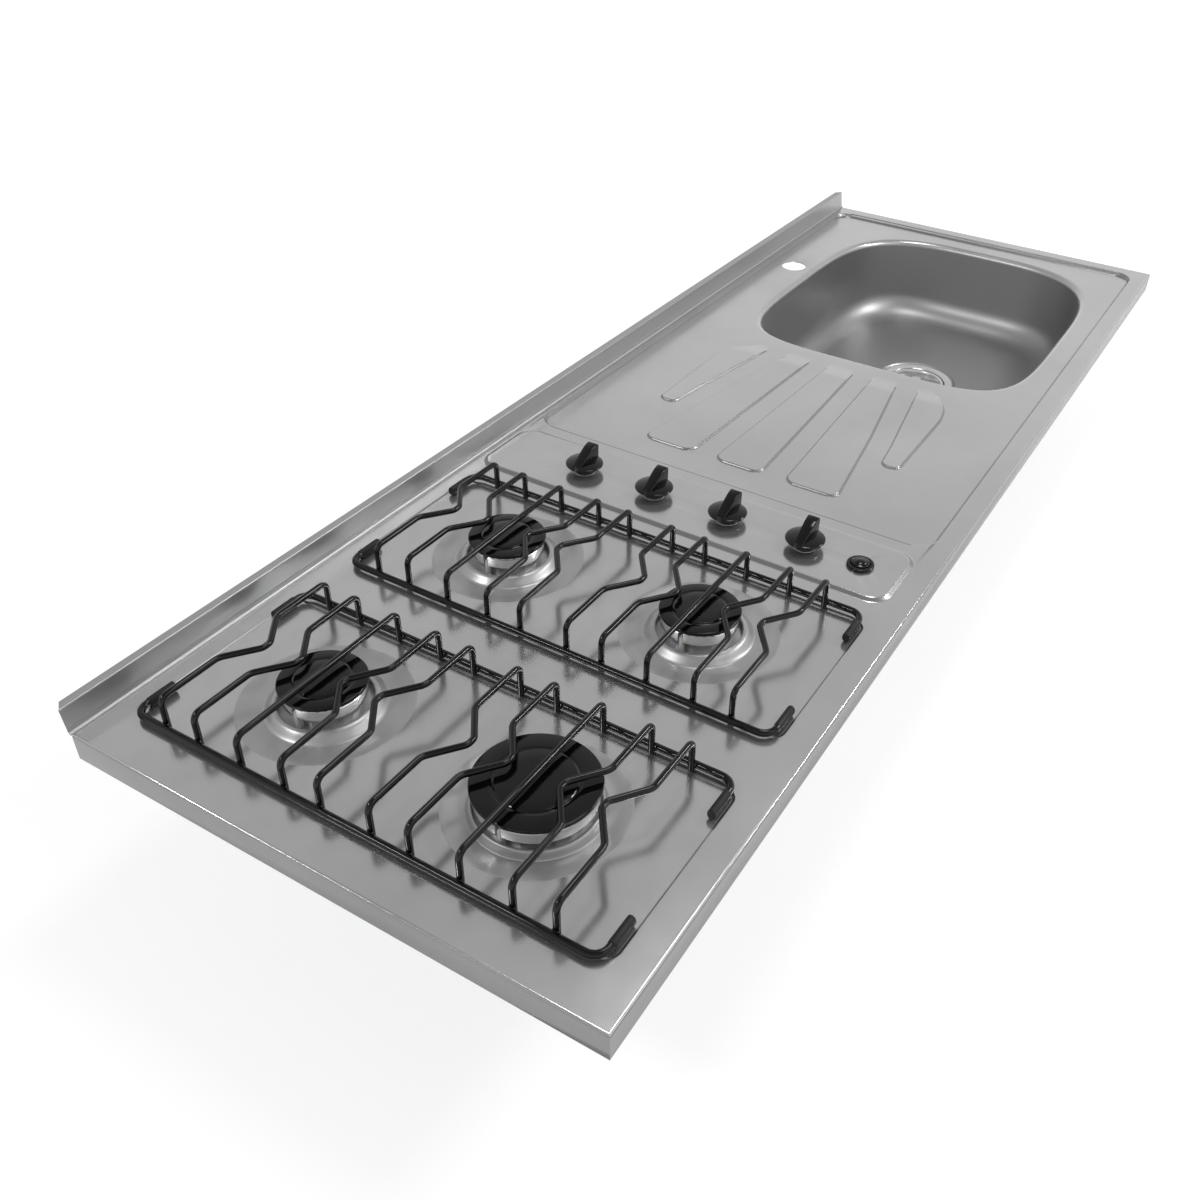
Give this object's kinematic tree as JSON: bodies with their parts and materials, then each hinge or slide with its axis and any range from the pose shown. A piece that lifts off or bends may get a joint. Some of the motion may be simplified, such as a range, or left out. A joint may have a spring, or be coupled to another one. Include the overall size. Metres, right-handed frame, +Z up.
{
  "type": "kitchenette worktop with sink and gas hob",
  "caption": "Pressed steel kitchenette worktop with gas burners under wire pan supports, knobs and an ignition button, a ribbed draining board and a sink bowl with strainer.",
  "frame": {"origin": "middle of the rear stiffening channel's underside, in the plane where the worktop rests on its cabinet", "axes": "+X from the hob end to the sink end, +Y from the front edge to the wall, +Z up"},
  "size_m": [1.5, 0.517, 0.23],
  "materials": {
    "steel": "satin stainless",
    "galvanised": "galvanised sheet",
    "zinc": "zinc-plated steel",
    "aluminium": "machined",
    "enamel": "gloss black enamel",
    "ceramic": "glazed insulator",
    "rubber": "matt",
    "brass": "machined",
    "black_plastic": "gloss black",
    "grey_plastic": "moulded"
  },
  "bodies": {
    "worktop": {"worktop_sheet": "steel", "sink_bowl": "steel", "channel_front": "galvanised", "channel_rear": "galvanised", "channel_hob_end": "galvanised", "channel_sink_end": "galvanised", "hob_undertray": "galvanised", "burner_cup_1": "aluminium", "burner_cup_2": "aluminium", "burner_cup_3": "aluminium", "burner_cup_4": "aluminium", "spark_electrode_1": "ceramic", "spark_electrode_2": "ceramic", "spark_electrode_3": "ceramic", "spark_electrode_4": "ceramic", "gas_tap_1": "brass", "gas_tap_2": "brass", "gas_tap_3": "brass", "gas_tap_4": "brass", "feed_pipe_1": "aluminium", "feed_pipe_2": "aluminium", "feed_pipe_3": "aluminium", "feed_pipe_4": "aluminium", "gas_manifold": "zinc", "gas_inlet_elbow": "brass", "button_bezel": "black_plastic", "ignition_module": "grey_plastic", "drain_flange": "steel", "drain_seal": "rubber", "drain_body": "grey_plastic"},
    "stem_1": {"tap_stem_1": "zinc"},
    "knob_1": {"knob_1": "black_plastic"},
    "stem_2": {"tap_stem_2": "zinc"},
    "knob_2": {"knob_2": "black_plastic"},
    "stem_3": {"tap_stem_3": "zinc"},
    "knob_3": {"knob_3": "black_plastic"},
    "stem_4": {"tap_stem_4": "zinc"},
    "knob_4": {"knob_4": "black_plastic"},
    "button": {"ignition_button": "black_plastic"},
    "ring_1": {"burner_ring_1": "aluminium"},
    "cap_1": {"burner_cap_1": "enamel"},
    "ring_2": {"burner_ring_2": "aluminium"},
    "cap_2": {"burner_cap_2": "enamel"},
    "ring_3": {"burner_ring_3": "aluminium"},
    "cap_3": {"burner_cap_3": "enamel"},
    "ring_4": {"burner_ring_4": "aluminium"},
    "cap_4": {"burner_cap_4": "enamel"},
    "pan_support_near": {"grate_near": "enamel", "grate_sleeve_near_1": "rubber", "grate_sleeve_near_2": "rubber", "grate_sleeve_near_3": "rubber", "grate_sleeve_near_4": "rubber"},
    "pan_support_far": {"grate_far": "enamel", "grate_sleeve_far_1": "rubber", "grate_sleeve_far_2": "rubber", "grate_sleeve_far_3": "rubber", "grate_sleeve_far_4": "rubber"},
    "basket": {"strainer_basket": "steel"}
  },
  "joints": [
    {"name": "tap_1_turn", "type": "hinge", "parent": "worktop", "child": "stem_1", "pos_m": [-0.1975, -0.38, 0.028], "axis": [0, 0, 1], "range_deg": [0, 200]},
    {"name": "knob_1_push", "type": "slide", "parent": "stem_1", "child": "knob_1", "axis": [0, 0, -1], "range_m": [0, 0.0025], "stiffness_N_per_m": 500, "springref_m": -0.002},
    {"name": "tap_2_turn", "type": "hinge", "parent": "worktop", "child": "stem_2", "pos_m": [-0.1975, -0.2935, 0.028], "axis": [0, 0, 1], "range_deg": [0, 200]},
    {"name": "knob_2_push", "type": "slide", "parent": "stem_2", "child": "knob_2", "axis": [0, 0, -1], "range_m": [0, 0.0025], "stiffness_N_per_m": 500, "springref_m": -0.002},
    {"name": "tap_3_turn", "type": "hinge", "parent": "worktop", "child": "stem_3", "pos_m": [-0.1975, -0.207, 0.028], "axis": [0, 0, 1], "range_deg": [0, 200]},
    {"name": "knob_3_push", "type": "slide", "parent": "stem_3", "child": "knob_3", "axis": [0, 0, -1], "range_m": [0, 0.0025], "stiffness_N_per_m": 500, "springref_m": -0.002},
    {"name": "tap_4_turn", "type": "hinge", "parent": "worktop", "child": "stem_4", "pos_m": [-0.1975, -0.1205, 0.028], "axis": [0, 0, 1], "range_deg": [0, 200]},
    {"name": "knob_4_push", "type": "slide", "parent": "stem_4", "child": "knob_4", "axis": [0, 0, -1], "range_m": [0, 0.0025], "stiffness_N_per_m": 500, "springref_m": -0.002},
    {"name": "ignition_push", "type": "slide", "parent": "worktop", "child": "button", "axis": [0, 0, -1], "range_m": [0, 0.0025], "stiffness_N_per_m": 500, "springref_m": -0.002},
    {"name": "ring_1_lift", "type": "slide", "parent": "worktop", "child": "ring_1", "axis": [0, 0, 1], "range_m": [0, 0.0025]},
    {"name": "cap_1_lift", "type": "slide", "parent": "ring_1", "child": "cap_1", "axis": [0, 0, 1], "range_m": [0, 0.0025]},
    {"name": "ring_2_lift", "type": "slide", "parent": "worktop", "child": "ring_2", "axis": [0, 0, 1], "range_m": [0, 0.0025]},
    {"name": "cap_2_lift", "type": "slide", "parent": "ring_2", "child": "cap_2", "axis": [0, 0, 1], "range_m": [0, 0.0025]},
    {"name": "ring_3_lift", "type": "slide", "parent": "worktop", "child": "ring_3", "axis": [0, 0, 1], "range_m": [0, 0.0025]},
    {"name": "cap_3_lift", "type": "slide", "parent": "ring_3", "child": "cap_3", "axis": [0, 0, 1], "range_m": [0, 0.0025]},
    {"name": "ring_4_lift", "type": "slide", "parent": "worktop", "child": "ring_4", "axis": [0, 0, 1], "range_m": [0, 0.0025]},
    {"name": "cap_4_lift", "type": "slide", "parent": "ring_4", "child": "cap_4", "axis": [0, 0, 1], "range_m": [0, 0.0025]},
    {"name": "pan_support_near_lift", "type": "slide", "parent": "worktop", "child": "pan_support_near", "axis": [0, 0, 1], "range_m": [0, 0.12]},
    {"name": "pan_support_far_lift", "type": "slide", "parent": "worktop", "child": "pan_support_far", "axis": [0, 0, 1], "range_m": [0, 0.12]},
    {"name": "basket_lift", "type": "slide", "parent": "worktop", "child": "basket", "axis": [0, 0, 1], "range_m": [0, 0.08]}
  ]
}
